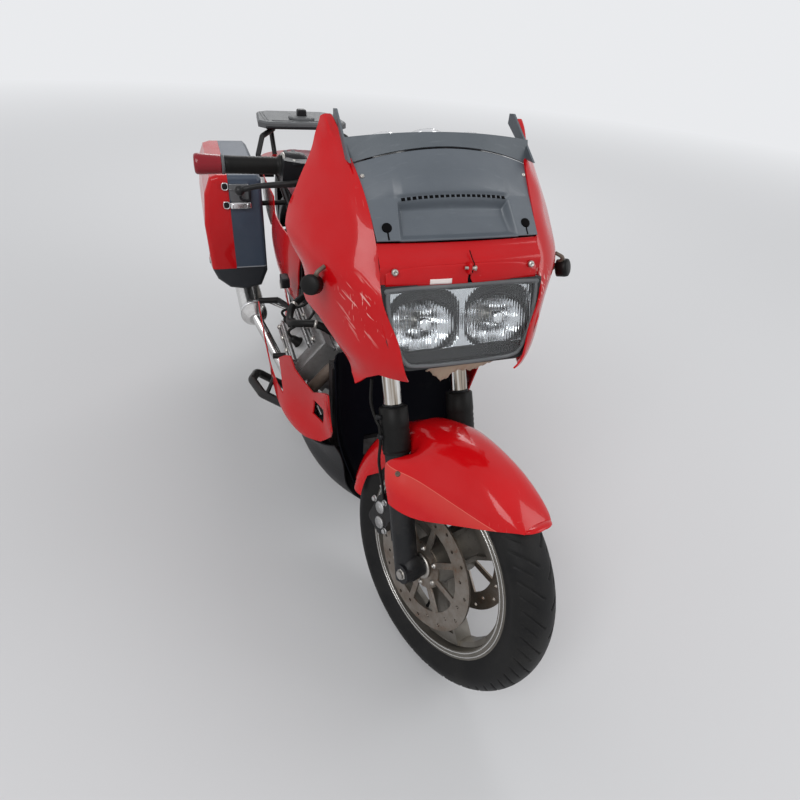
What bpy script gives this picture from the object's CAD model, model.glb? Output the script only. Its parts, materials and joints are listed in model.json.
"""Looks of a worn sport touring motorcycle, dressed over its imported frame.

Everything is in metres: +X is the rider's left, +Y the rear and +Z up.
"""
from __future__ import annotations

import json
import logging
import math
from dataclasses import dataclass
from enum import Enum
from functools import partialmethod
from typing import Any, Sequence

import bmesh
import bpy
import numpy as np
from mathutils import Matrix, Vector

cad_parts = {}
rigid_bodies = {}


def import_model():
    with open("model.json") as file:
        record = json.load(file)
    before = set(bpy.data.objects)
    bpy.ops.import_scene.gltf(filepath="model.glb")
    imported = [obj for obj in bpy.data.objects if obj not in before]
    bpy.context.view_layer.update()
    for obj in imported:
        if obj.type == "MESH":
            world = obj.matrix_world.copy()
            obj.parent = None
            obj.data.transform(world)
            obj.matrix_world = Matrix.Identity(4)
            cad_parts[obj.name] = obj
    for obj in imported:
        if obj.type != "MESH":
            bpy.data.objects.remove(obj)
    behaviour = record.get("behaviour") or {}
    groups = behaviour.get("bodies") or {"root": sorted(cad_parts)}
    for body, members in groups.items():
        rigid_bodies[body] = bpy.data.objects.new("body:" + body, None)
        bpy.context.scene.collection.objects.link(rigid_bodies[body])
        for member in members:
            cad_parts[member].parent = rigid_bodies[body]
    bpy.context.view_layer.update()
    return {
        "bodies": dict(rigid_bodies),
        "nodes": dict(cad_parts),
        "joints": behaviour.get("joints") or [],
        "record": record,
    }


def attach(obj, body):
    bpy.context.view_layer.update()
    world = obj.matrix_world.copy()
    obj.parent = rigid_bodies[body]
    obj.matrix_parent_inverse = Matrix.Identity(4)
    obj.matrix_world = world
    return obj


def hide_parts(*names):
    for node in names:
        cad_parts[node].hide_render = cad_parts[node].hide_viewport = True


LOG = logging.getLogger("motorcycle")
Point = Sequence[float]
Colour = tuple[float, float, float]

STEER_PIVOT = np.array((0.0, -0.9269, 0.0))
STEER_TILT = math.radians(27.5)
STEER_AXIS = np.array((0.0, math.sin(STEER_TILT), math.cos(STEER_TILT)))
STEER_REST = math.radians(19.0)
AXLE_FROM_MIDDLE = 825.9
FRONT_AXLE = np.array((0.0, -0.8259, 0.3166))
REAR_AXLE = np.array((0.0, 0.7291, 0.343))
SIDES = ((-1, "right"), (1, "left"))


# ---- geometry ----------------------------------------------------------------
def turned(points: np.ndarray, axis: Point, angle: float, centre: Point) -> np.ndarray:
    """Points turned about an axis, by the rotation formula v cos + (a x v) sin + a (a.v)(1 - cos).

    Args:
        points: array of points, last axis of length 3.
        axis: direction of the axis.
        angle: radians.
        centre: a point on the axis.

    Returns:
        The turned points, in the same shape.
    """
    unit = np.asarray(axis, float) / np.linalg.norm(axis)
    arm = np.asarray(points, float) - centre
    along = (arm @ unit)[..., None] * unit
    return centre + arm * math.cos(angle) + np.cross(unit, arm) * math.sin(angle) + along * (
        1 - math.cos(angle))


def steered(points: np.ndarray) -> np.ndarray:
    """Points turned from straight ahead to where the bars rest."""
    return turned(points, STEER_AXIS, STEER_REST, STEER_PIVOT)


def mm(*points: Point) -> np.ndarray:
    """Points in metres of the shared frame, from millimetres measured back from the front axle."""
    return (np.asarray(points, float) - (0.0, AXLE_FROM_MIDDLE, 0.0)) / 1000


def spot(x: float, y: float, z: float) -> np.ndarray:
    """One point in metres of the shared frame, from millimetres."""
    return mm((x, y, z))[0]


def grid(x: Any, y: Any, z: Any) -> np.ndarray:
    """Rows and columns of points in metres, from arrays of millimetres that fill each other out."""
    return mm(np.stack(np.broadcast_arrays(x, y, z), -1))[0]


def on_fork(*points: Point) -> np.ndarray:
    """Points of the turned fork from (across, ahead of the steering axis, along it), in millimetres.

    Each is pivot + across x + along a + ahead b, with b square to the axis a, then turned to rest.
    """
    across, ahead, along = np.asarray(points, float).T / 1000
    lean = np.array((0.0, -STEER_AXIS[2], STEER_AXIS[1]))
    straight = STEER_PIVOT + np.outer(across, (1, 0, 0)) + np.outer(along, STEER_AXIS) + np.outer(ahead, lean)
    return steered(straight)


def linked(name: str, data: Any) -> bpy.types.Object:
    """A new object of the scene from its data."""
    made = bpy.data.objects.new(name, data)
    bpy.context.scene.collection.objects.link(made)
    return made


def mesh_object(name: str, points: np.ndarray, faces: np.ndarray | list) -> bpy.types.Object:
    """A smooth mesh object at the origin, from an array of corners and rings of corner indices."""
    mesh = bpy.data.meshes.new(name)
    mesh.from_pydata(np.asarray(points, float).reshape(-1, 3).tolist(), [],
                     faces.tolist() if isinstance(faces, np.ndarray) else faces)
    mesh.polygons.foreach_set("use_smooth", np.ones(len(mesh.polygons), bool))
    mesh.update()
    return linked(name, mesh)


def grid_faces(rows: int, columns: int, wrap_rows: bool = False,
               wrap_columns: bool = False) -> np.ndarray:
    """Quads of a grid of points, optionally closed in either direction."""
    i = np.arange(rows if wrap_rows else rows - 1)
    j = np.arange(columns if wrap_columns else columns - 1)
    i, j = (a.ravel() for a in np.meshgrid(i, j, indexing="ij"))
    i2, j2 = (i + 1) % rows, (j + 1) % columns
    return np.stack([i * columns + j, i2 * columns + j, i2 * columns + j2, i * columns + j2], 1)


def surface(name: str, points: np.ndarray, wrap_rows: bool = False,
            wrap_columns: bool = False) -> bpy.types.Object:
    """Mesh of a (rows, columns, 3) grid of points."""
    rows, columns = points.shape[:2]
    return mesh_object(name, points, grid_faces(rows, columns, wrap_rows, wrap_columns))


def modified(thing: bpy.types.Object, kind: str, **settings: Any) -> bpy.types.Object:
    """Adds a modifier of a kind with its settings, applies it and returns the same object."""
    modifier = thing.modifiers.new(kind.title(), kind)
    for key, value in settings.items():
        setattr(modifier, key, value)
    depsgraph = bpy.context.evaluated_depsgraph_get()
    mesh = bpy.data.meshes.new_from_object(thing.evaluated_get(depsgraph))
    thing.modifiers.clear()
    old, thing.data = thing.data, mesh
    bpy.data.meshes.remove(old)
    return thing


def values(mesh: bpy.types.Mesh, part: str, field: str, wide: int = 1,
           kind: type = float) -> np.ndarray:
    """One field of a mesh's corners, loops or faces as an array, with rows when it is wide."""
    items = getattr(mesh, part)
    found = np.zeros(len(items) * wide, kind)
    items.foreach_get(field, found)
    return found if wide == 1 else found.reshape(-1, wide)


def joined(name: str, parts: list[bpy.types.Object]) -> bpy.types.Object:
    """One object from several, with their faces' materials kept."""
    materials = list(dict.fromkeys(m for part in parts for m in part.data.materials))
    points, faces, smooth, slots = [], [], [], []
    start = 0
    for part in parts:
        mesh = part.data
        points.append(values(mesh, "vertices", "co", 3))
        corners = values(mesh, "loops", "vertex_index", kind=int) + start
        ends = np.cumsum(values(mesh, "polygons", "loop_total", kind=int))
        faces += [ring.tolist() for ring in np.split(corners, ends[:-1])]
        smooth.append(values(mesh, "polygons", "use_smooth", kind=int))
        table = np.array([materials.index(m) for m in mesh.materials] or [0])
        slots.append(table[values(mesh, "polygons", "material_index", kind=int)])
        start += len(mesh.vertices)
        bpy.data.objects.remove(part)
    whole = mesh_object(name, np.concatenate(points), faces)
    for material in materials:
        whole.data.materials.append(material)
    whole.data.polygons.foreach_set("use_smooth", np.concatenate(smooth))
    whole.data.polygons.foreach_set("material_index", np.concatenate(slots))
    return whole


def basis(along: Point, up: Point = (0.0, 0.0, 1.0)) -> np.ndarray:
    """Rows: two directions across and the direction along."""
    third = np.asarray(along, float) / np.linalg.norm(along)
    first = np.cross(up, third)
    if np.linalg.norm(first) < 1e-6:
        first = np.cross((0.0, 1.0, 0.0), third)
    first = first / np.linalg.norm(first)
    return np.stack([first, np.cross(third, first), third])


def lathe(name: str, profile: Sequence[Point], line: Sequence[Point], count: int = 48,
          smooth: bool = True) -> bpy.types.Object:
    """Surface of revolution: radius r at height h gives start + h a + r (cos t u + sin t v).

    Args:
        name: the object's name.
        profile: (radius, height) pairs in millimetres, in order along the outline.
        line: where height 0 lies, and a point ahead of it on the axis, in metres.
        count: points around.
        smooth: shade smooth.

    Returns:
        The object, with its poles merged.
    """
    start = np.asarray(line[0], float)
    frame = basis(line[1] - start)
    r, h = np.array(profile, float).T / 1000
    t = np.linspace(0, 2 * math.pi, count, endpoint=False)
    ring = np.cos(t)[:, None] * frame[0] + np.sin(t)[:, None] * frame[1]
    points = start + h[:, None, None] * frame[2] + r[:, None, None] * ring[None]
    made = surface(name, points, wrap_columns=True)
    modified(made, "WELD", merge_threshold=1e-6)
    recalculated(made)
    made.data.polygons.foreach_set("use_smooth", np.full(len(made.data.polygons), smooth))
    return made


def recalculated(thing: bpy.types.Object) -> bpy.types.Object:
    """Turns a closed mesh's faces outward."""
    work = bmesh.new()
    work.from_mesh(thing.data)
    bmesh.ops.recalc_face_normals(work, faces=work.faces)
    work.to_mesh(thing.data)
    work.free()
    return thing


def tube(name: str, points: Sequence[Point], radius: float | Sequence[float], sides: int = 16,
         steps: int = 64, closed: bool = False) -> bpy.types.Object:
    """Round tube along a smooth line through points, carried with a frame that doesn't twist.

    Args:
        name: the object's name.
        points: the line's points.
        radius: one value, or one for each point.
        sides: points around.
        steps: rings along.
        closed: join the ends, which are capped otherwise.

    Returns:
        The object.
    """
    line, t = smooth_line(points, steps, closed)
    knots = np.linspace(0, 1, len(points) + closed)
    sizes = np.broadcast_to(np.asarray(radius, float), (len(points),))
    if closed:
        sizes = np.append(sizes, sizes[0])
    r = np.interp(t, knots, sizes)
    ahead = np.gradient(line, axis=0)
    ahead /= np.linalg.norm(ahead, axis=1)[:, None]
    across = np.zeros_like(line)
    across[0] = basis(ahead[0])[0]
    for i in range(1, len(line)):
        side = across[i - 1] - ahead[i] * (across[i - 1] @ ahead[i])
        across[i] = side / np.linalg.norm(side)
    other = np.cross(ahead, across)
    a = np.linspace(0, 2 * math.pi, sides, endpoint=False)
    ring = (np.cos(a)[None, :, None] * across[:, None] + np.sin(a)[None, :, None] * other[:, None])
    rings = line[:, None] + r[:, None, None] * ring
    if not closed:
        rings = np.concatenate([np.repeat(line[:1, None], sides, 1), rings,
                                np.repeat(line[-1:, None], sides, 1)])
    made = surface(name, rings, wrap_rows=closed, wrap_columns=True)
    modified(made, "WELD", merge_threshold=1e-7)
    return recalculated(made)


def smooth_line(points: Sequence[Point], steps: int, closed: bool = False
                ) -> tuple[np.ndarray, np.ndarray]:
    """Catmull-Rom line through points: on each span the cubic that meets both neighbours' slopes.

    Returns:
        The line's points, as many as the steps, and each one's share of the way, 0 to 1.
    """
    p = np.asarray(points, float)
    if closed:
        p = np.concatenate([p[-1:], p, p[:2]])
    else:
        p = np.concatenate([2 * p[:1] - p[1:2], p, 2 * p[-1:] - p[-2:-1]])
    spans = len(p) - 3
    t = np.linspace(0, 1, steps, endpoint=not closed)
    u = np.minimum(t * spans, spans - 1e-9)
    k = u.astype(int)
    u = (u - k)[:, None]
    a, b, c, d = p[k], p[k + 1], p[k + 2], p[k + 3]
    line = 0.5 * (2 * b + (c - a) * u + (2 * a - 5 * b + 4 * c - d) * u ** 2
                  + (3 * b - a - 3 * c + d) * u ** 3)
    return line, t


def rounded_block(name: str, centre: Point, size: Point, power: float = 0.3, count: int = 40,
                  frame: np.ndarray | None = None) -> bpy.types.Object:
    """Superellipsoid: each of cos and sin is raised to a power, which squares the ball's sides.

    Args:
        name: the object's name.
        centre: its middle, in metres.
        size: its three lengths, in millimetres.
        power: 1 is a ball, near 0 a sharp block.
        count: points around.
        frame: rows of its three directions.

    Returns:
        The closed object.
    """
    def bent(value: np.ndarray) -> np.ndarray:
        """Keeps the sign and bends the size."""
        return np.sign(value) * np.abs(value) ** power

    v = np.linspace(-math.pi / 2, math.pi / 2, count // 2 + 1)[:, None]
    t = np.linspace(0, 2 * math.pi, count, endpoint=False)[None]
    local = np.stack([bent(np.cos(v)) * bent(np.cos(t)), bent(np.cos(v)) * bent(np.sin(t)),
                      bent(np.sin(v)) * np.ones_like(t)], 2) * np.asarray(size) / 2000
    axes = np.eye(3) if frame is None else frame
    made = surface(name, np.asarray(centre) + local @ axes, wrap_columns=True)
    modified(made, "WELD", merge_threshold=1e-7)
    return recalculated(made)


def screw_heads(name: str, places: Sequence[tuple[Point, Point]], radius: float,
                sides: int = 20) -> bpy.types.Object:
    """Button heads of a radius in millimetres with hexagon sockets, at each (place, outward direction)."""
    profile = [(0, radius * 0.28), (radius * 0.42, radius * 0.28), (radius * 0.44, radius * 0.72),
               (radius * 0.72, radius * 0.62), (radius * 0.96, radius * 0.26), (radius, 0), (radius, -2),
               (0, -2)]
    return joined(name, [lathe("head", profile, (at, np.add(at, out)), sides) for at, out in places])


def hexagon(name: str, line: Sequence[Point], radius: float, height: float) -> bpy.types.Object:
    """A hexagon bolt head with chamfered corners and a washer under it, sized in millimetres."""
    head = lathe("head", [(0, height), (radius * 0.82, height), (radius, height * 0.82), (radius, 0),
                          (0, 0)], line, 6, False)
    wide = radius * 1.25
    return joined(name, [head, lathe("washer", [(0, 0.5), (wide, 0.5), (wide, -1.5), (0, -1.5)], line, 28)])


def helix(start: Point, end: Point, radius: float, turns: int, steps: int) -> np.ndarray:
    """Coil's line: radius (cos t u + sin t v) moved evenly from start to end."""
    frame = basis(np.asarray(end, float) - start)
    t = np.linspace(0, 1, steps)[:, None]
    a = t * turns * 2 * math.pi
    return np.asarray(start) + t * (np.asarray(end) - start) + radius * (
        np.cos(a) * frame[0] + np.sin(a) * frame[1])


def walled(thing: bpy.types.Object, thickness: float, inward: Point) -> bpy.types.Object:
    """Gives an open sheet its wall, after turning its faces away from a point inside."""
    mesh = thing.data
    face = mesh.polygons[len(mesh.polygons) // 2]
    if face.normal.dot(Vector(inward) - face.center) > 0:
        mesh.flip_normals()
    return modified(thing, "SOLIDIFY", thickness=thickness, offset=-1.0)


def plate(name: str, points: np.ndarray, thickness: float,
          inside: Point = (0, 300, 1000)) -> bpy.types.Object:
    """Sheet over a grid of points, with a wall towards a point inside, both in millimetres."""
    return walled(surface(name, points), thickness / 1000, spot(*inside))


# ---- shader graphs -----------------------------------------------------------
GRAIN_SCALE = 900
SEAM = (0.0022, 900.0)
FOLD_LINE = (0.0011, 1500.0)
FOLD_REACH = 0.06
FOLD_BEND = 8.33
SCUFF_SLOPE = 2.2
DEEPER = 0.82


def toned(colour: Colour, scale: float, lift: float = 0.0) -> Colour:
    """A colour scaled and lifted, no brighter than 1."""
    return tuple(min(1.0, c * scale + lift) for c in colour)


class Sock:
    """A socket that takes part in arithmetic: each operator adds one Math node."""

    def __init__(self, graph: "Graph", socket: bpy.types.NodeSocket) -> None:
        """Wraps a socket of a graph."""
        self.graph, self.socket = graph, socket

    def math(self, operation: str, *others: Any) -> "Sock":
        """One Math node on this socket and others."""
        return self.graph.node("Math", {"operation": operation}, dict(enumerate((self, *others))))

    def __rsub__(self, other: Any) -> "Sock":
        """Difference from a number."""
        return self.graph.node("Math", {"operation": "SUBTRACT"}, {0: other, 1: self})

    __add__ = __radd__ = partialmethod(math, "ADD")
    __sub__ = partialmethod(math, "SUBTRACT")
    __mul__ = __rmul__ = partialmethod(math, "MULTIPLY")
    __gt__ = partialmethod(math, "GREATER_THAN")
    __lt__ = partialmethod(math, "LESS_THAN")

    def clamp(self) -> "Sock":
        """Held between 0 and 1."""
        return self.math("MINIMUM", 1.0).math("MAXIMUM", 0.0)

    def band(self, half: float, slope: float) -> "Sock":
        """A line where this is near 0: (half - |value|) slope, held between 0 and 1."""
        return ((half - self.math("ABSOLUTE")) * slope).clamp()


class Graph:
    """A material's node tree with one shader, built by short calls."""

    def __init__(self, name: str) -> None:
        """Starts an empty material with a Principled shader."""
        self.material = bpy.data.materials.new(name)
        self.material.use_nodes = True
        self.tree = self.material.node_tree
        self.tree.nodes.clear()
        self.shader = self.tree.nodes.new("ShaderNodeBsdfPrincipled")
        self.output = self.tree.nodes.new("ShaderNodeOutputMaterial")
        self.tree.links.new(self.shader.outputs[0], self.output.inputs[0])
        self._place: Sock | None = None

    def node(self, kind: str, settings: dict[str, Any] | None = None,
             inputs: dict[Any, Any] | None = None, out: Any = 0) -> Sock:
        """Adds a node.

        Args:
            kind: its type without the ShaderNode prefix.
            settings: properties set first.
            inputs: values or sockets by name or number.
            out: which output is returned.

        Returns:
            The output.
        """
        made = self.tree.nodes.new("ShaderNode" + kind)
        for key, value in (settings or {}).items():
            setattr(made, key, value)
        for key, value in (inputs or {}).items():
            self.feed(made.inputs[key], value)
        return Sock(self, made.outputs[out])

    def feed(self, socket: bpy.types.NodeSocket, value: Any) -> None:
        """Sets or links one socket."""
        if isinstance(value, Sock):
            self.tree.links.new(value.socket, socket)
        elif socket.type == "RGBA" and len(value) == 3:
            socket.default_value = (*value, 1)
        else:
            socket.default_value = value

    def set(self, **values: Any) -> "Graph":
        """Sets the shader's sockets, with spaces written as underscores."""
        for key, value in values.items():
            self.feed(self.shader.inputs[key.replace("_", " ")], value)
        return self

    def place(self) -> Sock:
        """Object coordinates."""
        if self._place is None:
            self._place = self.node("TexCoord", out="Object")
        return self._place

    def noise(self, scale: float, detail: float = 3.0, rough: float = 0.5, stretch: Point | None = None,
              turn: Point = (0, 0, 0), kind: str = "POINT") -> Sock:
        """Noise in the object's own space, optionally stretched and turned by a kind of mapping."""
        vector = self.place()
        if stretch is not None:
            vector = self.node("Mapping", {"vector_type": kind},
                               {"Vector": vector, "Scale": stretch, "Rotation": turn})
        return self.node("TexNoise", None, {"Vector": vector, "Scale": scale, "Detail": detail,
                                            "Roughness": rough})

    def strokes(self, scale: float, length: Point, turn: Point) -> Sock:
        """Noise drawn out along one turned direction."""
        return self.noise(scale, 2.0, 0.5, length, turn, "TEXTURE")

    def cells(self, scale: float, feature: str = "F1", out: str = "Distance") -> Sock:
        """Voronoi cells."""
        return self.node("TexVoronoi", {"feature": feature}, {"Vector": self.place(), "Scale": scale}, out)

    def patches(self, low: float, high: float, *noise: float) -> Sock:
        """Noise cut to 0 under one level and 1 over another."""
        return self.step(self.noise(*noise), low, high)

    def step(self, value: Sock, low: float, high: float) -> Sock:
        """A value taken from 0 at one level to 1 at another."""
        made = self.node("ValToRGB", None, {"Fac": value})
        black, white = made.socket.node.color_ramp.elements
        black.position, white.position = low, high
        return made

    def mix(self, share: Any, first: Any, second: Any) -> Sock:
        """Colour mix."""
        made = self.tree.nodes.new("ShaderNodeMix")
        made.data_type = "RGBA"
        for key, value in ((0, share), (6, first), (7, second)):
            self.feed(made.inputs[key], value)
        return Sock(self, made.outputs[2])

    def bump(self, height: Sock, strength: float, distance: float = 0.001,
             normal: Sock | None = None) -> Sock:
        """Bump from a height."""
        inputs = {"Height": height, "Strength": strength, "Distance": distance}
        if normal is not None:
            inputs["Normal"] = normal
        return self.node("Bump", None, inputs)

    def away(self, centre: Point) -> Sock:
        """Distance from a place."""
        return self.node("VectorMath", {"operation": "DISTANCE"}, {0: self.place(), 1: centre}, "Value")

    def dust(self) -> Sock:
        """Broad soft patches of dust on moulded plastic."""
        return self.patches(0.35, 0.75, 8, 6, 0.65)

    def tooth(self) -> Sock:
        """Height of a moulded grain: small cells with finer noise over them."""
        return self.cells(GRAIN_SCALE) + self.noise(160, 2) * 0.6

    def axis(self, which: str) -> Sock:
        """One coordinate of the object space."""
        return self.node("SeparateXYZ", None, {0: self.place()}, which)


# ---- finishes ----------------------------------------------------------------
@dataclass(frozen=True)
class Finish:
    """A finish: a name, a base colour and a roughness."""

    name: str
    colour: Colour = (0.5, 0.5, 0.5)
    rough: float = 0.5

    def shade(self, g: Graph) -> None:
        """Fills the graph; each finish has its own."""
        g.set(Base_Color=self.colour, Roughness=self.rough)

    def material(self) -> bpy.types.Material:
        """The finish's material, made once."""
        found = bpy.data.materials.get(self.name)
        if found is not None:
            return found
        graph = Graph(self.name)
        self.shade(graph)
        graph.material.diffuse_color = (*self.colour, 1)
        return graph.material


@dataclass(frozen=True)
class GlossPaint(Finish):
    """Moulded plastic in gloss paint, with haze, fine scratches and scuffs down to pale plastic."""

    wear: float = 0.5
    scuffs: tuple[tuple[float, float, float, float], ...] = ()
    fold: tuple[Point, Point] | None = None

    def near(self, g: Graph, scuff: tuple[float, float, float, float]) -> Sock:
        """One at a scuffed place and nothing past its radius."""
        *centre, radius = scuff
        return ((radius - g.away(centre)) * (SCUFF_SLOPE / radius)).clamp()

    def shade(self, g: Graph) -> None:
        """Colour drifts slightly, scratches run in two directions and scuffs gather in patches."""
        drift = g.patches(0.3, 0.75, 3.0, 4)
        base = g.mix(drift, self.colour, toned(self.colour, DEEPER))
        first = g.noise(38, 2, 0.4, (1, 12, 1), (0.3, 0.2, 0.5))
        second = g.noise(34, 2, 0.4, (11, 1, 1), (0.5, 0.9, 0.1))
        lines = g.step(first, 0.7, 0.73) + g.step(second, 0.71, 0.74)
        patch = g.patches(0.6, 0.7, 5.5, 5, 0.7) * self.wear
        near = [self.near(g, scuff) for scuff in self.scuffs]
        for share in near:
            patch = patch + share
        strokes = g.step(g.strokes(150, (1, 1, 9), (-0.714, -0.66, 0.0)), 0.62, 0.66)
        scratch = (lines * patch).clamp()
        for share in near:
            scratch = (scratch + strokes * share).clamp()
        chips = g.patches(0.74, 0.76, 90, 2, 0.6) * g.patches(0.57, 0.65, 7, 3) * self.wear
        base = g.mix(scratch * 0.75, base, (0.8, 0.5, 0.46))
        base = g.mix(chips.clamp() * 0.8, base, (0.5, 0.3, 0.28))
        haze = g.patches(0.4, 0.75, 11, 6, 0.65)
        normal = g.bump(g.noise(30, 2) * 0.3 - scratch, 0.12, 0.0008)
        if self.fold is not None:
            below = g.node("VectorMath", {"operation": "SUBTRACT"}, {0: g.place(), 1: self.fold[0]})
            below = g.node("VectorMath", {"operation": "DOT_PRODUCT"}, {0: below, 1: self.fold[1]}, "Value")
            held = below.math("MAXIMUM", 0.0).math("MINIMUM", FOLD_REACH)
            normal = g.bump((held - held * held * FOLD_BEND) * 400.0, 1.0, 0.001, normal)
            line = below.band(*FOLD_LINE) * 0.35
            base = g.mix(line + (below > 0) * (FOLD_REACH - held) * 2.2, base, (0.9, 0.3, 0.22))
        g.set(Base_Color=base, Roughness=haze * 0.08 + self.rough + scratch * 0.3,
              Coat_Roughness=0.03, Specular_IOR_Level=0.12, Normal=normal)
        g.set(Coat_Weight=0.42 - haze * 0.2)


@dataclass(frozen=True)
class Moulding(Finish):
    """Unpainted plastic with a moulded grain, dust and pale rubs."""

    grain: float = 0.35
    dust: float = 0.3
    gleam: float = 0.25

    def shade(self, g: Graph) -> None:
        """Grain from small cells, dust from broad noise and rubs from stretched noise."""
        dust = g.dust() * self.dust
        rubs = g.step(g.noise(24, 3, 0.5, (1, 9, 1), (0.2, 0.4, 0.7)), 0.62, 0.72) * self.dust
        base = g.mix(dust, self.colour, toned(self.colour, 1.6, 0.07))
        base = g.mix(rubs * 0.5, base, toned(self.colour, 2, 0.12))
        g.set(Base_Color=base, Roughness=g.noise(14, 3) * 0.15 + (self.rough - 0.07),
              Specular_IOR_Level=self.gleam, Normal=g.bump(g.tooth(), self.grain, 0.0006))


@dataclass(frozen=True)
class LampShell(Moulding):
    """Lamp shell whose lower outer corners carry the wings' paint."""

    corner_x: float = 0.1508
    corner_z: float = 0.955

    def shade(self, g: Graph) -> None:
        """Plain moulding, with paint past a distance from the middle and under a height."""
        super().shade(g)
        plain = Sock(g, g.shader.inputs["Base Color"].links[0].from_socket)
        corner = (g.axis("X").math("ABSOLUTE") > self.corner_x) * (g.axis("Z") < self.corner_z)
        g.set(Base_Color=g.mix(corner, plain, PAINT_RED))


@dataclass(frozen=True)
class TwoTone(Finish):
    """Moulded case: slate over a black tray, with a thin bright line between them."""

    split: float = 0.566

    def shade(self, g: Graph) -> None:
        """The tray is everything below the split height; grain and dust as on the other mouldings."""
        height = g.axis("Z")
        tray = height < self.split
        dust = g.dust() * 0.22
        upper = g.mix(dust, self.colour, toned(self.colour, 1.6, 0.05))
        lower = g.mix(dust * 0.5, (0.008, 0.01, 0.014), (0.06, 0.07, 0.08))
        line = (height - self.split).band(*SEAM)
        base = g.mix(line * 0.7, g.mix(tray, upper, lower), (0.4, 0.42, 0.45))
        g.set(Base_Color=base, Roughness=g.noise(14, 3) * 0.12 + self.rough,
              Normal=g.bump(g.tooth() - line * 2, 0.3, 0.0006))


@dataclass(frozen=True)
class Metal(Finish):
    """Bare or plated metal with grime in patches and fine machining or cast texture."""

    cast: float = 0.3
    grime: float = 0.3
    metallic: float = 1.0
    soil: Colour = (0.09, 0.07, 0.05)
    gleam: float = 0.5
    streaks: float = 0.0

    def shade(self, g: Graph) -> None:
        """Cast pits or fine lines in the bump, grime that dulls and darkens in patches."""
        grime = g.patches(0.45, 0.72, 13, 6, 0.7) * self.grime
        grime = (grime + g.patches(0.6, 0.7, 70, 3, 0.6) * self.grime * 0.6).clamp()
        shade = g.mix(g.noise(30, 3), self.colour, toned(self.colour, DEEPER))
        if self.streaks:
            run = g.strokes(95, (1, 1, 30), (-STEER_TILT, 0.0, 0.0))
            shade = g.mix(g.step(run, 0.42, 0.56) * self.streaks, shade, (0.3, 0.24, 0.18))
            shade = g.mix(g.step(run, 0.6, 0.64) * self.streaks, shade, (0.03, 0.025, 0.02))
        g.set(Base_Color=g.mix(grime, shade, self.soil), Metallic=self.metallic - grime * 0.6 * self.metallic,
              Roughness=grime * 0.35 + self.rough + g.noise(50, 2) * 0.05, Specular_IOR_Level=self.gleam,
              Normal=g.bump(g.noise(420, 3, 0.6) + g.noise(60, 3) * 0.5, self.cast, 0.0008))


@dataclass(frozen=True)
class DiscSteel(Finish):
    """Brake disc steel: fine turned rings, brown heat tint and rust freckles."""

    centre: tuple[float, float, float] = (0.0, 0.0, 0.0)

    def shade(self, g: Graph) -> None:
        """Rings follow the distance from the axle; freckles and tint come from noise."""
        rings = g.node("TexNoise", {"noise_dimensions": "1D"},
                       {"W": g.away(self.centre), "Scale": 1400.0, "Detail": 3.0})
        tint = g.patches(0.38, 0.7, 18, 5, 0.65)
        rust = g.patches(0.55, 0.66, 120, 4, 0.7) * tint
        base = g.mix(tint, self.colour, (0.15, 0.115, 0.085))
        base = g.mix(rust.clamp(), base, (0.15, 0.055, 0.02))
        g.set(Base_Color=base, Metallic=0.85 - rust * 0.6, Roughness=rings * 0.2 + 0.26 + rust * 0.3,
              Normal=g.bump(rings + rust, 0.25, 0.0004))


@dataclass(frozen=True)
class Rubber(Finish):
    """Rubber with a dry bloom and dust in its low places."""

    bloom: float = 0.3
    dirt: Colour = (0.16, 0.14, 0.115)

    def shade(self, g: Graph) -> None:
        """A grey bloom in broad patches and dusty specks, over a fine tooth."""
        bloom = g.patches(0.4, 0.72, 10, 6, 0.65) * self.bloom
        specks = g.patches(0.6, 0.72, 240, 3, 0.7) * self.bloom
        base = g.mix(bloom, self.colour, self.dirt)
        base = g.mix(specks, base, toned(self.dirt, 1.3))
        g.set(Base_Color=base, Roughness=bloom * 0.3 + self.rough, Specular_IOR_Level=0.14,
              Normal=g.bump(g.noise(380, 3, 0.6), 0.3, 0.0008))


@dataclass(frozen=True)
class Hide(Finish):
    """Seat cover: maroon leather with a grey stripe each side, grain, creases and rubbed edges."""

    rub: Colour = (0.3, 0.14, 0.15)
    stripe: float = 0.06
    edge: float = 0.104
    grey_before: float = -9.0
    dark_wide: float = 0.028

    def shade(self, g: Graph) -> None:
        """Stripes follow the distance from the middle; grain, creases and rubs come from noise."""
        side = g.axis("X").math("ABSOLUTE")
        grain = g.cells(420, "DISTANCE_TO_EDGE")
        pores = g.step(grain, 0.0, 0.12)
        crease = g.noise(22, 5, 0.6, (1, 3, 1))
        rub = g.patches(0.42, 0.8, 7, 5, 0.6) * 0.6
        base = g.mix(rub, self.colour, self.rub)
        grey = g.mix(rub, (0.13, 0.135, 0.145), (0.3, 0.3, 0.31))
        dark = g.mix(rub, (0.02, 0.021, 0.024), (0.09, 0.09, 0.095))
        ahead = (g.axis("Y") < self.grey_before) * (side < self.edge)
        base = g.mix(((side > self.stripe) * (side < self.edge) + ahead).clamp(), base, grey)
        band = (side > self.edge) * (side < self.edge + self.dark_wide)
        base = g.mix(band * (self.grey_before < 0), base, dark)
        seam = (side - self.stripe).band(*SEAM) + (side - self.edge).band(*SEAM)
        base = g.mix(seam.clamp() * 0.75, base, (0.01, 0.008, 0.008))
        base = g.mix(pores, g.mix(0.5, base, (0.02, 0.01, 0.012)), base)
        g.set(Base_Color=base, Roughness=rub * 0.12 + self.rough, Sheen_Weight=0.15,
              Normal=g.bump(pores * 0.35 + crease - seam * 2.0, 0.35, 0.0015))


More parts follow.
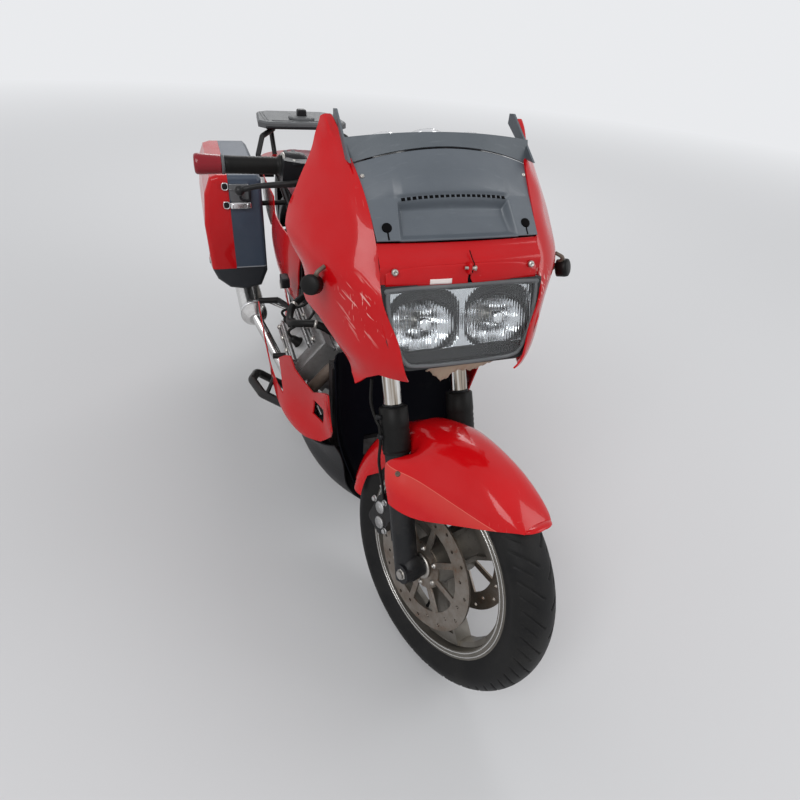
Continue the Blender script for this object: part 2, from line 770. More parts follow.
@dataclass(frozen=True)
class ClearGlass(Finish):
    """Clear lamp glass with upright flutes and a thin film of dirt."""

    flutes: float = 1.0
    pitch: float = 1150.0

    def shade(self, g: Graph) -> None:
        """Flutes are a sine across the lamp; the film adds roughness in patches."""
        wave = (g.axis("X") * self.pitch).math("SINE")
        film = g.patches(0.45, 0.8, 9, 6, 0.7)
        g.set(Base_Color=self.colour, Roughness=film * 0.12 + self.rough, Transmission_Weight=1.0,
              IOR=1.45, Normal=g.bump(wave * self.flutes + g.noise(18, 2), 0.22, 0.001))


PAINT_RED = (0.52, 0.003, 0.006)
DISC_GREY = (0.27, 0.243, 0.215)
NOSE_SCUFFS = ((-0.222, -0.775, 0.96, 0.09), (-0.262, -0.69, 1.07, 0.05), (0.17, -0.775, 1.0, 0.05))
GUARD_SCUFFS = ((0.03, -1.05, 0.58, 0.04),)


def guard_fold() -> tuple[Point, Point]:
    """A point on the mudguard's crease and the direction square to it, downward."""
    start, end, side = on_fork((0, 79, 582), (0, 300, 492), (100, 79, 582))
    down = np.cross(end - start, side - start)
    down *= -np.sign(down[2])
    return tuple(start.tolist()), tuple((down / np.linalg.norm(down)).tolist())


GUARD_FOLD = guard_fold()


class Look(Enum):
    """The machine's finishes."""

    RED = GlossPaint("gloss_red", PAINT_RED, 0.2, 0.4)
    NOSE_RED = GlossPaint("nose_red", PAINT_RED, 0.2, 0.35, NOSE_SCUFFS)
    GUARD_RED = GlossPaint("mudguard_red", (0.6, 0.004, 0.007), 0.16, 0.2, GUARD_SCUFFS, GUARD_FOLD)
    TANK = GlossPaint("tank_red", (0.48, 0.003, 0.007), 0.16, 0.2)
    INNER_GREY = Moulding("inner_grey", (0.085, 0.1, 0.118), 0.36, 0.2, 0.16, 0.5)
    DASH_GREY = Moulding("dash_grey", (0.08, 0.094, 0.108), 0.5, 0.35, 0.18, 0.4)
    SLATE = TwoTone("pannier_slate", (0.032, 0.048, 0.075), 0.34)
    BLACK = Moulding("moulded_black", (0.006, 0.006, 0.0075), 0.42, 0.3, 0.1, 0.2)
    DUCT = Moulding("duct_black", (0.002, 0.0025, 0.005), 0.5, 0.2, 0.02, 0.05)
    RACK = Moulding("rack_grey", (0.1, 0.105, 0.11), 0.5, 0.5, 0.3)
    LAMP = LampShell("lamp_shell", (0.012, 0.0125, 0.014), 0.4, 0.2, 0.3)
    BLACK_METAL = Metal("black_enamel", (0.007, 0.007, 0.008), 0.36, 0.35, 0.25, 0.0,
                        (0.05, 0.042, 0.034), 0.3)
    SLIDER = Metal("fork_enamel", (0.006, 0.0065, 0.008), 0.4, 1.0, 0.35, 0.0, (0.045, 0.04, 0.036), 0.3)
    WHEEL = Metal("wheel_paint", (0.21, 0.195, 0.172), 0.3, 0.3, 0.5, 0.85, (0.05, 0.04, 0.03))
    RIM_LIP = Metal("rim_lip", (0.7, 0.69, 0.67), 0.2, 0.06, 0.2, 1.0, (0.08, 0.065, 0.05))
    FORK_TUBE = Metal("fork_chrome", (0.8, 0.79, 0.77), 0.07, 0.05, 0.08, 1.0, streaks=0.85)
    ALLOY = Metal("cast_alloy", (0.5, 0.5, 0.5), 0.38, 0.6, 0.45, 0.85)
    STEEL = Metal("bare_steel", (0.5, 0.48, 0.45), 0.34, 0.3, 0.4, 1.0)
    CHROME = Metal("chrome_plate", (0.83, 0.83, 0.84), 0.08, 0.05, 0.16, 1.0)
    SILENCER = Metal("silencer_chrome", (0.7, 0.69, 0.68), 0.16, 0.08, 0.22, 1.0)
    FRONT_DISC = DiscSteel("front_disc_steel", DISC_GREY, 0.35, tuple(steered(FRONT_AXLE).tolist()))
    REAR_DISC = DiscSteel("rear_disc_steel", DISC_GREY, 0.35, tuple(REAR_AXLE.tolist()))
    TYRE = Rubber("tyre_rubber", (0.009, 0.009, 0.0095), 0.5, 0.22, (0.05, 0.048, 0.044))
    RUBBER = Rubber("soft_rubber", (0.006, 0.006, 0.006), 0.42, 0.15, (0.04, 0.037, 0.033))
    BAR_END = GlossPaint("bar_end_red", (0.24, 0.008, 0.016), 0.22, 0.25)
    SEAT = Hide("rider_hide", (0.16, 0.02, 0.035), 0.45, (0.4, 0.16, 0.19), 0.062, 0.104)
    PILLION = Hide("pillion_hide", (0.16, 0.02, 0.035), 0.45, (0.36, 0.1, 0.13), 0.2, 0.104, 0.42)
    REFLECTOR = Metal("reflector_silver", (0.7, 0.71, 0.73), 0.09, 0.02, 0.1, 1.0)
    BULB = ClearGlass("bulb_glass", (0.9, 0.92, 0.95), 0.02, 0.0)
    VOID = Moulding("shadow_black", (0.0015, 0.0015, 0.002), 0.6, 0.2, 0.02, 0.05)
    CREAM = Moulding("aged_cream", (0.34, 0.27, 0.2), 0.55, 0.4, 0.3)
    PALE = Moulding("bare_pale", (0.72, 0.62, 0.6), 0.5, 0.2, 0.15)
    OLD_METAL = Metal("aged_pipe", (0.16, 0.125, 0.1), 0.5, 0.5, 0.5, 0.6, (0.05, 0.035, 0.025))
    GLASS = ClearGlass("lamp_glass", (0.93, 0.95, 0.955), 0.03)
    RED_LENS = GlossPaint("tail_lens", (0.4, 0.008, 0.01), 0.12, 0.1)

    @property
    def material(self) -> bpy.types.Material:
        """The finish's material."""
        return self.value.material()


NODE_LOOKS: dict[Look, tuple[str, ...]] = {
    Look.GUARD_RED: ("front_mudguard",), Look.NOSE_RED: ("upper_fairing", "nose_bridge"),
    Look.RED: ("lower_fairing_right", "lower_fairing_left", "side_covers", "tail_cowl",
               "pannier_lid_right", "pannier_lid_left"),
    Look.TANK: ("tank_cover",), Look.INNER_GREY: ("inner_panel",), Look.DASH_GREY: ("dash_strip",),
    Look.SLATE: ("pannier_cases",),
    Look.BLACK: ("switch_pods", "instrument_cluster", "belly_pan", "rear_mudguard"),
    Look.DUCT: ("radiator_duct",), Look.RACK: ("luggage_plate",), Look.LAMP: ("headlight_body",),
    Look.BLACK_METAL: ("fork_yokes", "front_calipers", "handlebars", "hand_levers", "main_frame",
                       "swingarm", "rear_caliper", "grab_rails", "crash_bars", "centre_stand",
                       "side_stand_bracket", "side_stand", "footrests", "foot_controls",
                       "fairing_stay", "radiator", "panel_stays"),
    Look.SLIDER: ("fork_sliders",), Look.WHEEL: ("front_rim", "rear_rim"),
    Look.ALLOY: ("crankcase", "cylinder_heads"),
    Look.STEEL: ("front_axle", "rear_axle", "pivot_bolts"),
    Look.CHROME: ("pannier_latches",), Look.FORK_TUBE: ("fork_tubes",), Look.SILENCER: ("exhausts",),
    Look.FRONT_DISC: ("front_brake_discs",), Look.REAR_DISC: ("rear_brake_disc",),
    Look.TYRE: ("front_tyre", "rear_tyre"), Look.RUBBER: ("fork_boots", "grips"),
    Look.BAR_END: ("bar_end_weights",), Look.SEAT: ("rider_seat", "passenger_seat"),
    Look.GLASS: ("headlight_glass",), Look.RED_LENS: ("tail_lamp",),
}


def dress(thing: bpy.types.Object, look: Look) -> bpy.types.Object:
    """Puts one finish on a whole object."""
    thing.data.materials.clear()
    thing.data.materials.append(look.material)
    return thing


def fitted(thing: bpy.types.Object, look: Look, body: str = "frame") -> bpy.types.Object:
    """Dresses a new piece, makes it ride on a body and names its slot, by its look unless one is given."""
    dress(thing, look)
    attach(thing, body)
    return thing


# ---- studio ------------------------------------------------------------------
@dataclass
class Studio:
    """Camera, floor, soft lamps and a pale surround."""

    eye: Point = (-0.422714, -1.558353, 1.394821)
    right: Point = (0.94583513, -0.31597158, 0.07455109)
    up: Point = (0.13090116, 0.58132149, 0.80307547)
    forward: Point = (0.29708717, 0.74981817, -0.59119533)
    lens: float = 24.2
    sensor: float = 36.0
    far: float = 100.0
    reach: float = 90.0
    glow: Colour = (0.82, 0.83, 0.85)
    soft: float = 0.5
    fade: float = 0.05

    def camera(self) -> None:
        """Places the camera from its three directions."""
        data = bpy.data.cameras.new("camera")
        data.lens, data.sensor_width, data.clip_end = self.lens, self.sensor, self.far
        thing = linked("camera", data)
        matrix = Matrix(np.stack([self.right, self.up, -np.asarray(self.forward)], 1).tolist()).to_4x4()
        matrix.translation = self.eye
        thing.matrix_world = matrix
        bpy.context.scene.camera = thing

    def lamp(self, name: str, at: Point, target: Point, size: tuple[float, float], power: float) -> None:
        """One soft rectangular lamp that looks at a target."""
        data = bpy.data.lights.new(name, "AREA")
        data.shape, data.energy = "RECTANGLE", power
        data.size, data.size_y = size
        thing = linked(name, data)
        thing.location = at
        thing.rotation_euler = (Vector(target) - Vector(at)).to_track_quat("-Z", "Y").to_euler()

    def surround(self) -> None:
        """Soft light for the machine, and a brighter wall where a lens, mirror or glass looks at it."""
        world = bpy.data.worlds.new("surround")
        bpy.context.scene.world = world
        world.use_nodes = True
        tree = world.node_tree
        tree.nodes.clear()
        soft, seen, mix, path, add, both, out = (tree.nodes.new("ShaderNode" + kind) for kind in (
            "Background", "Background", "MixShader", "LightPath", "Math", "Math", "OutputWorld"))
        soft.inputs[0].default_value = (1, 1, 1, 1)
        soft.inputs[1].default_value = self.soft
        seen.inputs[0].default_value = (*self.glow, 1)
        for sum_of in (add, both):
            sum_of.operation, sum_of.use_clamp = "ADD", True
        for start, end in ((path.outputs["Is Camera Ray"], add.inputs[0]),
                           (path.outputs["Is Transmission Ray"], add.inputs[1]),
                           (add.outputs[0], both.inputs[0]), (path.outputs["Is Glossy Ray"], both.inputs[1]),
                           (both.outputs[0], mix.inputs[0]), (soft.outputs[0], mix.inputs[1]),
                           (seen.outputs[0], mix.inputs[2]), (mix.outputs[0], out.inputs[0])):
            tree.links.new(start, end)

    def floor(self) -> None:
        """Pale floor that fades into the surround with the distance from the machine."""
        corners = np.array([(-1, -1, 0), (1, -1, 0), (1, 1, 0), (-1, 1, 0)]) * self.reach
        floor = mesh_object("floor", corners, [[0, 1, 2, 3]])
        pale = Graph("floor_pale")
        away = pale.node("VectorMath", {"operation": "LENGTH"}, {0: pale.place()}, "Value")
        far = pale.step(away * self.fade, 0.07, 0.5)
        seen_by = sum((pale.node("LightPath", out=f"Is {ray} Ray") for ray in ("Glossy", "Transmission")),
                      pale.node("LightPath", out="Is Camera Ray"))
        pale.set(Base_Color=(0.62, 0.625, 0.64), Roughness=0.5, Specular_IOR_Level=0.3)
        glow = pale.node("Emission", None, {"Color": self.glow, "Strength": 1.0})
        blend = pale.node("MixShader", None, {
            0: (far * seen_by).clamp(), 1: Sock(pale, pale.shader.outputs[0]), 2: glow})
        pale.tree.links.new(blend.socket, pale.output.inputs[0])
        floor.data.materials.append(pale.material)

    def build(self) -> None:
        """Makes everything around the machine."""
        self.camera()
        self.lamp("key", (-2.6, -3.0, 4.2), (0, 0, 0.6), (2.6, 2.6), 122)
        self.lamp("fill", (3.4, -2.2, 2.8), (0, 0, 0.6), (2.2, 2.2), 44)
        self.lamp("rear", (1.4, 4.2, 3.6), (0, 0, 0.7), (3.6, 1.6), 92)
        self.surround()
        self.floor()
        bpy.context.scene.view_settings.view_transform = "Standard"


# ---- the machine -------------------------------------------------------------
@dataclass
class Carried:
    """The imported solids, each given its finish."""

    nodes: dict[str, bpy.types.Object]

    def build(self) -> None:
        """Dresses every node."""
        for look, names in NODE_LOOKS.items():
            for name in names:
                if name in self.nodes:
                    dress(self.nodes[name], look)


@dataclass
class Tyre:
    """A tyre with a round crown, a bead ring, and grooves that slant both ways from the middle."""

    name: str
    node: str
    body: str
    centre: Point
    radius: float
    width: float
    bead: float
    rim_width: float
    turn: float
    pitches: int
    groove: float = 0.0042
    around: int = 900

    def section(self) -> tuple[np.ndarray, np.ndarray, np.ndarray]:
        """Half width, radius and share of tread at each point of the section, as a closed loop.

        Over the crown x = (w/2) |sin f|^0.92 and r = middle + rise cos f; below it both run in to the
        bead, and a second, smaller loop closes the inside.
        """
        middle, half = self.bead + 0.5 * (self.radius - self.bead), self.width / 2
        f = np.linspace(-math.pi / 2, math.pi / 2, 61)
        x = half * np.sign(np.sin(f)) * np.abs(np.sin(f)) ** 0.92
        r = middle + (self.radius - middle) * np.cos(f)
        t = np.linspace(0.08, 1, 12)
        side_x = half - (half - self.rim_width / 2 + 0.004) * t ** 1.7
        side_r = middle - (middle - self.bead - 0.004) * t
        tread = np.clip((1.22 - np.abs(f)) / 0.1, 0, 1)
        inside_x = np.linspace(self.rim_width / 2 - 0.009, -self.rim_width / 2 + 0.009, 9)
        inside_r = self.bead + 0.004 + 0.03 * np.sin(np.linspace(0, math.pi, 9))
        xs = np.concatenate([-side_x[::-1], x, side_x, inside_x])
        rs = np.concatenate([side_r[::-1], r, side_r, inside_r])
        return xs, rs, np.concatenate([np.zeros(12), tread, np.zeros(21)])

    def depth(self, x: np.ndarray, angle: np.ndarray) -> np.ndarray:
        """Groove depth: a slanted groove each side, and a shorter, finer one between each two."""
        share = np.abs(x) / (self.width / 2)
        lead = 0.9 * share ** 1.2 + np.where(x > 0, 0.5, 0.0)
        phase = (angle / (2 * math.pi) * self.pitches + lead) % 1.0
        wide, short = (np.clip(1.5 - np.abs((phase + lag) % 1.0 - 0.5) / half, 0, 1)
                       * np.clip((share - start) / 0.04, 0, 1)
                       for lag, half, start in ((0.0, 0.035, 0.14), (0.5, 0.022, 0.46)))
        return self.groove * np.maximum(wide, short * 0.8)

    def build(self) -> None:
        """Sweeps the section round the axle with the grooves cut in."""
        x, r, tread = self.section()
        angle = np.linspace(0, 2 * math.pi, self.around, endpoint=False)[:, None]
        deep = r[None] - self.depth(x[None], angle) * tread[None]
        points = np.stack([np.broadcast_to(x, deep.shape), deep * np.cos(angle), deep * np.sin(angle)], 2)
        points = turned(points, STEER_AXIS, self.turn, (0, 0, 0)) + np.asarray(self.centre)
        thing = recalculated(surface(self.name, points, True, True))
        fitted(thing, Look.TYRE, self.body)
        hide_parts(self.node)


@dataclass
class FrontEnd:
    """Screws, brake line, axle ends and caliper details that turn with the bars."""

    body: str = "steering"
    leg: float = 101.0
    ahead: float = 42.0
    axle_ahead: float = 56.6
    axle_along: float = 327.46
    guard_radius: float = 339.6

    def brake_line(self) -> None:
        """Hard line down the outside of the right leg, with its clips."""
        x, a = -self.leg, self.ahead
        line = on_fork(*((x + dx, a + da, along) for dx, da, along in (
            (-20, -46, 780), (-34, -36, 732), (-39, -14, 694), (-37, -6, 676), (-36, -10, 640),
            (-31, -30, 590), (-6, -62, 520), (16, -96, 462), (30, -120, 430))))
        fitted(tube("brake_line", line, 0.0036, 12, 90), Look.RUBBER, self.body)
        clips = [lathe("clip", [(0, -5), (8, -5), (9, 0), (8, 5), (0, 5)],
                       on_fork((x - 34, a - 8, along), (x - 34, a - 8, along + 10)), 20)
                 for along in (700, 655)]
        fitted(joined("brake_line_clips", clips), Look.BLACK, self.body)

    def boot_rings(self, side: int, name: str) -> None:
        """Ribbed lower ring on a boot, over the slider's top, and its upper lip."""
        line = on_fork((side * self.leg, self.ahead, 614), (side * self.leg, self.ahead, 720))
        ribs = [(32.2 + 1.2 * (i % 2), 4 + 6.2 * i) for i in range(10)]
        ring = lathe(f"boot_{name}", [(21.5, 0), *ribs, (33.5, 66), (32.5, 103.5), (30, 106), (21.5, 106)],
                     line, 56)
        fitted(ring, Look.RUBBER, self.body)
        lip = lathe(f"boot_lip_{name}", [(20.7, 104), (23.5, 104), (23.5, 111), (20.7, 111)], line)
        fitted(lip, Look.BLACK, self.body)

    def axle_ends(self, side: int, name: str) -> None:
        """Hexagon axle head, pinch bolt and lug on a leg's foot."""
        foot = on_fork(*((side * x, self.axle_ahead, self.axle_along) for x in (118, 140)))
        fitted(hexagon(f"axle_{name}", foot, 15.5, 12), Look.STEEL, self.body)
        pinch = on_fork(*((side * 112, self.ahead - back, 352) for back in (20, 60)))
        fitted(hexagon(f"pinch_{name}", pinch, 6.8, 8), Look.STEEL, self.body)
        face = on_fork(*((side * 96, self.ahead + ahead, 336) for ahead in (14, 90)))
        collar = lathe(f"foot_{name}", [(0, -20), (26, -20), (30, 4), (26, 19), (12, 21.5), (0, 21.5)],
                       face, 40)
        fitted(collar, Look.SLIDER, self.body)

    def caliper(self, side: int, name: str) -> None:
        """Piston caps, bridge bolts and bleed screw on a caliper."""
        caps, bolts = ([on_fork(*((side * x, ahead, along) for x in (92, 140))) for ahead, along in places]
                       for places in (((-69, 408), (-60, 450)), ((-52, 389), (-82, 468), (-40, 466))))
        parts = [lathe("cap", [(0, 4), (6, 4.5), (7.2, 2), (14.5, 4.5), (17, 0), (0, 0)], line, 32)
                 for line in caps]
        parts += [hexagon("bridge", line, 6.5, 6) for line in bolts]
        parts.append(lathe("bleed", [(4, 0), (4, 12), (5.5, 13), (5.5, 18), (0, 20)],
                           on_fork((side * 74, -70, 482), (side * 74, -74, 520)), 12))
        fitted(joined(f"caliper_bolts_{name}", parts), Look.ALLOY, self.body)

    def guard(self) -> None:
        """Mudguard screws, and the rounded closing of its nose.

        The nose is the end section drawn in along a quarter ellipse: width and height shrink by
        sqrt(1 - t^2) towards a point low on the end while the section moves ahead by the reach.
        """
        heads = [on_fork((side * 130, 79, 576), (side * 158, 104, 588)) for side in (-1, 1)]
        fitted(screw_heads("mudguard_screws", [(at, tip - at) for at, tip in heads], 6.6),
               Look.OLD_METAL, self.body)
        crown = self.axle_along + math.sqrt(self.guard_radius ** 2 - (352 - self.axle_ahead) ** 2)
        turn = np.linspace(-math.pi / 2, math.pi / 2, 41)[None]
        across = 39.5 * np.sign(turn) * np.abs(np.sin(turn)) ** 0.84
        rise = (crown + 3.5 - 488) * np.clip(np.cos(turn), 0, 1) ** 0.7
        t = np.sin(np.linspace(0, math.pi / 2, 16))[:, None]
        shrink = np.sqrt(np.clip(1 - t ** 2, 0, 1))
        points = np.stack([across * (0.12 + 0.88 * shrink), 351.5 + 19 * t + 0 * turn,
                           488 + rise * (0.04 + 0.96 * shrink) + 1.5 * t], 2)
        nose = surface("mudguard_nose", on_fork(*points.reshape(-1, 3)).reshape(points.shape))
        fitted(walled(nose, 0.003, on_fork((0, 330, 480))[0]), Look.GUARD_RED, self.body)

    def build(self) -> None:
        """Makes every piece."""
        self.brake_line()
        for make in (self.boot_rings, self.axle_ends, self.caliper):
            for side, name in SIDES:
                make(side, name)
        self.guard()


@dataclass
class WheelFittings:
    """Disc bolts, valve, hub rings and rim lips of one wheel."""

    body: str
    centre: Point
    turn: float
    discs: tuple[float, ...]
    bolt_circle: float
    bead: float
    half_rim: float

    def placed(self, *points: Point) -> np.ndarray:
        """Points of the wheel's own space, X along its axle, put in place."""
        return turned(np.asarray(points, float), STEER_AXIS, self.turn, (0, 0, 0)) + np.asarray(self.centre)

    def build(self) -> None:
        """Makes the bolts on each disc, a rubber valve, a ring on each hub and two lips a side."""
        start, end = self.placed((0, 0, 0), (1, 0, 0))
        heads = [(self.placed((x, self.bolt_circle * math.cos(a), self.bolt_circle * math.sin(a)))[0],
                  (end - start) * np.sign(x)) for x in self.discs for a in np.arange(6) * math.pi / 3 + 0.26]
        fitted(screw_heads(self.body + "_disc_bolts", heads, 6.8, 16), Look.STEEL, self.body)
        valve = lathe(self.body + "_valve", [(0, 0), (5.5, 0), (5, 12), (3.6, 16), (3.6, 26), (4.4, 27),
                                             (4.4, 34), (0, 35)],
                      self.placed((0.012, 0, 0.012 - self.bead), (0.02, 0, 0.045 - self.bead)), 20)
        fitted(valve, Look.RUBBER, self.body)
        rings = [lathe("hub", [(23, 0), (31, 0), (31, 3.6), (27, 5.2), (23, 4.8)],
                       self.placed((x + math.copysign(0.0022, x), 0, 0), (x * 1.2, 0, 0)))
                 for x in self.discs]
        fitted(joined(self.body + "_hub_rings", rings), Look.STEEL, self.body)
        lips = []
        for side in (-1, 1):
            line = self.placed((side * self.half_rim, 0, 0), (side * (self.half_rim + 1), 0, 0))
            for low in (-8.8, 1.2):
                edge = [(self.bead * 1000 + low + r, x) for r, x in (
                    (0, -1), (0, 0.6), (0.6, 1.3), (2.6, 1.3), (3.2, 0.6), (2.6, -1), (0, -1))]
                lips.append(lathe("lip", edge, line, 160))
        fitted(joined(self.body + "_rim_lips", lips), Look.RIM_LIP, self.body)


@dataclass
class Lamp:
    """Inside of the wide headlamp: reflector with two bowls, bulbs, divider and gasket."""

    foot: Point = (0.0, 28.0, 868.0)
    lean: float = math.atan2(40, 130)
    height: float = math.hypot(40, 130)
    half_top: float = 148.0
    half_foot: float = 122.0
    bowl_x: float = 74.0
    behind: Point = (0, 300, 950)

    def at(self, u: Any, v: Any, d: Any) -> np.ndarray:
        """Point u across, v up the glass and d in front of it, in millimetres."""
        c, s = math.cos(self.lean), math.sin(self.lean)
        return grid(self.foot[0] + u, self.foot[1] + v * s - d * c, self.foot[2] + v * c + d * s)

    def half(self, v: np.ndarray) -> np.ndarray:
        """Half width of the glass at a height: it grows from the foot to the middle, then stays."""
        return self.half_foot + (self.half_top - self.half_foot) * np.clip(v / (self.height * 0.5), 0, 1)

    def reflector(self) -> None:
        """Height field: each bowl is the lower half of a faceted ellipsoid sunk behind a flat plate."""
        v = np.linspace(22, self.height - 4, 100)[:, None]
        u = np.linspace(-1, 1, 220)[None] * (self.half(v) - 5)
        depth = np.full(u.shape, 13.0)
        for x in (-self.bowl_x, self.bowl_x):
            du, dv = (u - x) / 71, (v - self.height * 0.56) / 62
            ball = np.clip(1 - np.abs(du) ** 2.6 - np.abs(dv) ** 2.6, 0, None)
            facets = 1 + 0.05 * np.cos(9 * np.arctan2(dv, du)) + 0.02 * np.sin(u * 0.5)
            inner = np.clip(1 - (du * 1.9) ** 2 - (dv * 1.7) ** 2, 0, None)
            depth = np.maximum(depth, 13 + 34 * ball ** 0.55 * facets + 10 * np.sqrt(inner))
        points = self.at(u, v, -np.minimum(depth, 62))
        fitted(plate("lamp_reflector", points, 1.2, self.behind), Look.REFLECTOR)

    def bulbs(self) -> None:
        """Bulb holder, glass bulb and shield in each bowl."""
        for x, side in ((-self.bowl_x, "right"), (self.bowl_x, "left")):
            line = [self.at(x, self.height * 0.53, d) for d in (-58.0, 0.0)]
            for name, profile, count, look in (
                    ("bulb_holder", [(0, 0), (17, 0), (17, 6), (11, 8), (10.5, 20), (0, 20)], 36, Look.STEEL),
                    ("bulb", [(0, 19), (6.2, 19), (6.6, 34), (5, 41), (2.2, 44.5), (0, 45)], 28, Look.BULB),
                    ("bulb_shield", [(9.5, 30), (12.5, 30), (12.5, 47.5), (9, 50), (0, 51), (0, 49.5),
                                     (9.5, 47)], 36, Look.CHROME)):
                fitted(lathe(f"{name}_{side}", profile, line, count), look)

    def gasket(self) -> None:
        """Grey rim round the glass, a tube that follows its outline, and the dark strip under the bowls."""
        h = self.height
        right = [(0, h + 3), (self.half_top - 14, h + 2), (self.half_top - 3, h - 6),
                 (self.half_top - 6, h * 0.6), (self.half_foot + 7, 34), (self.half_foot - 4, 10),
                 (self.half_foot - 28, -1), (0, -4)]
        outline = right + [(-u, v) for u, v in reversed(right[1:-1])]
        line = [self.at(u, v, -3.0) for u, v in outline]
        fitted(tube("lamp_rim", line, 0.0042, 12, 260, closed=True), Look.RACK)
        v = np.linspace(2, 25, 8)[:, None]
        u = np.linspace(-1, 1, 80)[None] * (self.half(v) - 7)
        points = self.at(u, v, -10 - 6 * np.cos(u / 9.0) * 0.2)
        fitted(plate("lamp_dark_foot", points, 1.5, self.behind), Look.BLACK)

    def broken_bracket(self) -> None:
        """Cream plastic bracket snapped off under the lamp: a ragged sheet hung from its foot."""
        u = np.linspace(-62, 74, 60)[None]
        ragged = 7 * np.abs(np.sin(u * 0.21)) + 4 * np.abs(np.sin(u * 0.57 + 1))
        drop = 16 + 26 * np.exp(-((u + 26) / 22) ** 2) + 10 * np.exp(-((u - 30) / 30) ** 2) - ragged * 0.5
        t = np.linspace(0, 1, 14)[:, None]
        points = self.at(u, -10 - t * drop, -14 - 26 * t ** 1.3 + 4 * np.sin(u * 0.05))
        fitted(plate("lamp_broken_bracket", points, 2.2, self.behind), Look.CREAM)

    def build(self) -> None:
        """Makes every piece of the lamp."""
        self.reflector()
        self.bulbs()
        self.gasket()
        self.broken_bracket()


@dataclass
class Nose:
    """Fixings, vents and plugs on the bare nose, and the instruments behind its strip."""

    slope: float = 110 / 126
    bow: float = 0.00035
    vents: int = 20
    ahead_of: Point = (0, 400, 1100)

    @property
    def outward(self) -> np.ndarray:
        """Direction square to the panel, away from the machine."""
        return np.array((0.0, -1.0, self.slope)) / math.hypot(1, self.slope)

    def on_panel(self, x: Any, z: Any, proud: Any = 0.0) -> np.ndarray:
        """Point on the bare panel: y = 110 + slope (z - 1068) + a sag that grows with x squared."""
        rise = (z - 1068) / 126
        y = 110 + (z - 1068) * self.slope + (6 + 8 * rise) * (x / 160) ** 2
        return grid(x, y, z - 30 * rise * (x / 170) ** 2) + self.outward * (
            np.asarray(3.6 + proud)[..., None] / 1000)

    def panel(self) -> None:
        """Bare panel: a bulged hood over the vents, and a broad hollow with soft walls below them.

        Its height over the sloping plane is bulge sin(pi t) (1 - (x/150)^2) above the vents, and
        -depth smooth(distance inside the hollow's outline) below them.
        """
        z = np.linspace(1069, 1193, 112)[:, None]
        half = np.interp(z[:, 0], (1062, 1103, 1150, 1194), (155, 157, 164, 174.6))[:, None]
        x = np.linspace(-1, 1, 200)[None] * half
        t = np.clip((z - 1132) / 61, 0, 1)
        hood = 9 * np.sin(math.pi * t ** 0.75) * np.clip(1 - (x / 158) ** 2, 0, 1) ** 0.7
        brow = 4.5 * np.clip((z - 1129) / 3, 0, 1) * np.clip((112 - np.abs(x)) / 14, 0, 1) * (1 - t) ** 3
        wall = np.minimum(np.minimum(116 - np.abs(x) - (z - 1070) * 0.12, 1127 - z), z - 1067.5)
        soft = np.clip(wall / 13, 0, 1)
        hollow = -17 * soft ** 2 * (3 - 2 * soft) * (0.55 + 0.45 * np.clip((z - 1070) / 34, 0, 1))
        thing = plate("bare_panel", self.on_panel(x, z, hood + brow + hollow), 3, (0, 500, 1000))
        fitted(thing, Look.INNER_GREY)
        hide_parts("inner_panel")

    def slot(self, x: float, half: float, z: Any, proud: float) -> bpy.types.Object:
        """Small dark plate on the panel, about a place across it and between two heights."""
        return plate("slot", self.on_panel(x + np.array((-half, half))[None], z[:, None], proud), 0.8,
                     self.ahead_of)

    def openings(self) -> None:
        """Row of vent slots in a low arch, and a round plug with a keyhole at each lower corner."""
        row = [self.slot(x, 3.3, 1124.5 + 1.5 * (1 - (x / 100) ** 2) + np.linspace(0, 4.2, 3), 0.7)
               for x in np.linspace(-97, 97, self.vents)]
        fitted(joined("panel_vents", row), Look.VOID)
        parts = []
        for x in (-134.0, 134.0):
            parts.append(lathe("plug", [(0, 2.4), (5.5, 2.6), (8.5, 1.8), (9.2, 0), (0, -1)],
                               [self.on_panel(x, 1088.0, proud) for proud in (0.0, 20.0)], 32))
            parts.append(self.slot(x, 1.4, np.linspace(1070, 1083, 4), 0.4))
        fitted(joined("panel_plugs", parts), Look.VOID)

    def screws(self) -> None:
        """Silver screws on the bridge and the panel's upper corners, and the clip on the bridge."""
        places = [(spot(x, 78.5, 1029), (0, -0.98, 0.2)) for x in (-132, 132)]
        fitted(screw_heads("bridge_screws", places, 6.2), Look.STEEL)
        small = [(self.on_panel(side * 158.0, 1170.0), (side * 0.1, -0.74, 0.66)) for side in (-1, 1)]
        fitted(screw_heads("panel_screws", small, 4.2), Look.STEEL)
        fitted(rounded_block("bridge_clip", spot(3, 72, 1032), (7, 16, 21), 0.5, 24), Look.NOSE_RED)
        pin = spot(3, 69, 1033)
        fitted(lathe("bridge_clip_pin", [(0, -9), (3, -9), (3, 8), (4.8, 9), (4.4, 12), (0, 12.5)],
                     (pin, pin + (1, -0.2, 0)), 18), Look.STEEL)

    def bridge_strips(self) -> None:
        """Raised lower strip of the bridge, broken beside the middle with ragged ends.

        Its profile of (depth, height) follows y = depth + bow x^2 across the nose, and its upper edge
        drops by 12 (x / 147)^4 towards the sides.
        """
        depth, height = np.array([(76.5, 1002.2), (71.6, 1002.6), (70.4, 1004.6), (71.4, 1012.0),
                                  (72.4, 1022.4), (73.2, 1024.8), (75.4, 1034.8), (76.4, 1036.6),
                                  (81.4, 1037.8)]).T
        left = np.array([3.6, 3.8, 4.2, 3.2, 4.6, 5.2, 4.0, 3.4, 3.2])
        right = np.array([14.0, 14.0, 13.2, 9.0, 7.4, 9.2, 10.6, 10.2, 9.4])
        strips = []
        for start, end in ((-147.0, left), (right, 147.0)):
            x = start + (end - start) * np.linspace(0, 1, 60)[:, None]
            z = height - 12 * (x / 147) ** 4 * np.clip((height - 1006) / 30, 0, 1)
            strips.append(plate("strip", grid(x, depth + self.bow * x ** 2, z), 1.2))
        fitted(joined("bridge_strips", strips), Look.NOSE_RED)

